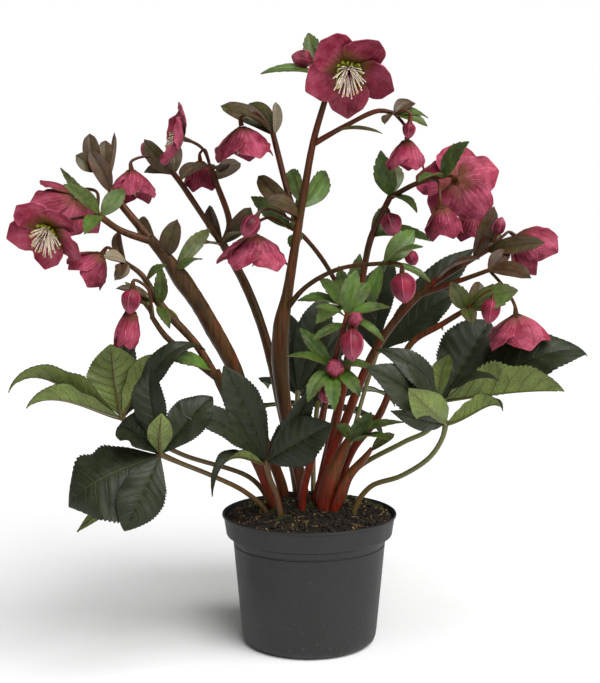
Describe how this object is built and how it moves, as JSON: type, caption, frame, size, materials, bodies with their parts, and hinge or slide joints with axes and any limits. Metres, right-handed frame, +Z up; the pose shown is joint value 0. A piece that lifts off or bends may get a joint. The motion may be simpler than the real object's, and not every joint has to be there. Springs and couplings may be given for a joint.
{
  "type": "hellebore plant in a nursery pot",
  "caption": "Potted hellebore in bloom: nodding cup flowers and buds on upright leafy stems above toothed, fingered evergreen leaves, in a plain round nursery pot.",
  "frame": {"origin": "middle of the pot's flat underside", "axes": "+Z up, along the pot's axis; -Y towards the plant's front, where the open flowers face"},
  "size_m": [0.4647, 0.35, 0.516],
  "materials": {
    "pot": "satin",
    "soil": "matte",
    "stem": "satin",
    "leaf": "satin",
    "petal": "satin",
    "bud": "satin",
    "stamens": "matte"
  },
  "bodies": {
    "root": {"pot": "pot", "soil": "soil", "stem_a": "stem", "stem_b": "stem", "stem_d": "stem", "stem_f": "stem", "stem_g": "stem", "stem_i": "stem", "stem_j": "stem", "stem_k": "stem", "stem_l": "stem", "stem_m": "stem", "leaf_front_left": "leaf", "leaf_left": "leaf", "leaf_front": "leaf", "leaf_front_right": "leaf", "leaf_right": "leaf", "leaf_back_right": "leaf", "leaf_back_left": "leaf", "leaf_back": "leaf", "flower_top": "petal", "flower_left": "petal", "flower_left_behind": "petal", "flower_bell_left": "petal", "flower_wing": "petal", "flower_nodding_left": "petal", "flower_nodding_middle": "petal", "flower_low_left": "petal", "flower_right_back": "petal", "flower_right_low": "petal", "flower_right_dark": "petal", "flower_far_right": "petal", "flower_low_right": "petal", "flower_upper_right": "petal", "flower_half_open": "petal", "flower_hanging": "petal", "bud_top": "bud", "bud_left": "bud", "bud_arching": "bud", "bud_small_upper": "bud", "bud_large": "bud", "bud_round": "bud", "bud_lowest": "bud", "bud_right": "bud", "bud_small_right": "bud", "bud_far_right": "bud", "bud_low_right": "bud", "bud_middle": "bud", "bud_upper_right": "bud", "bud_low_left": "bud", "stamens_top": "stamens", "stamens_left": "stamens", "stamens_wing": "stamens", "stamens_right_back": "stamens", "stamens_far_right": "stamens", "stamens_low_right": "stamens"}
  },
  "joints": []
}
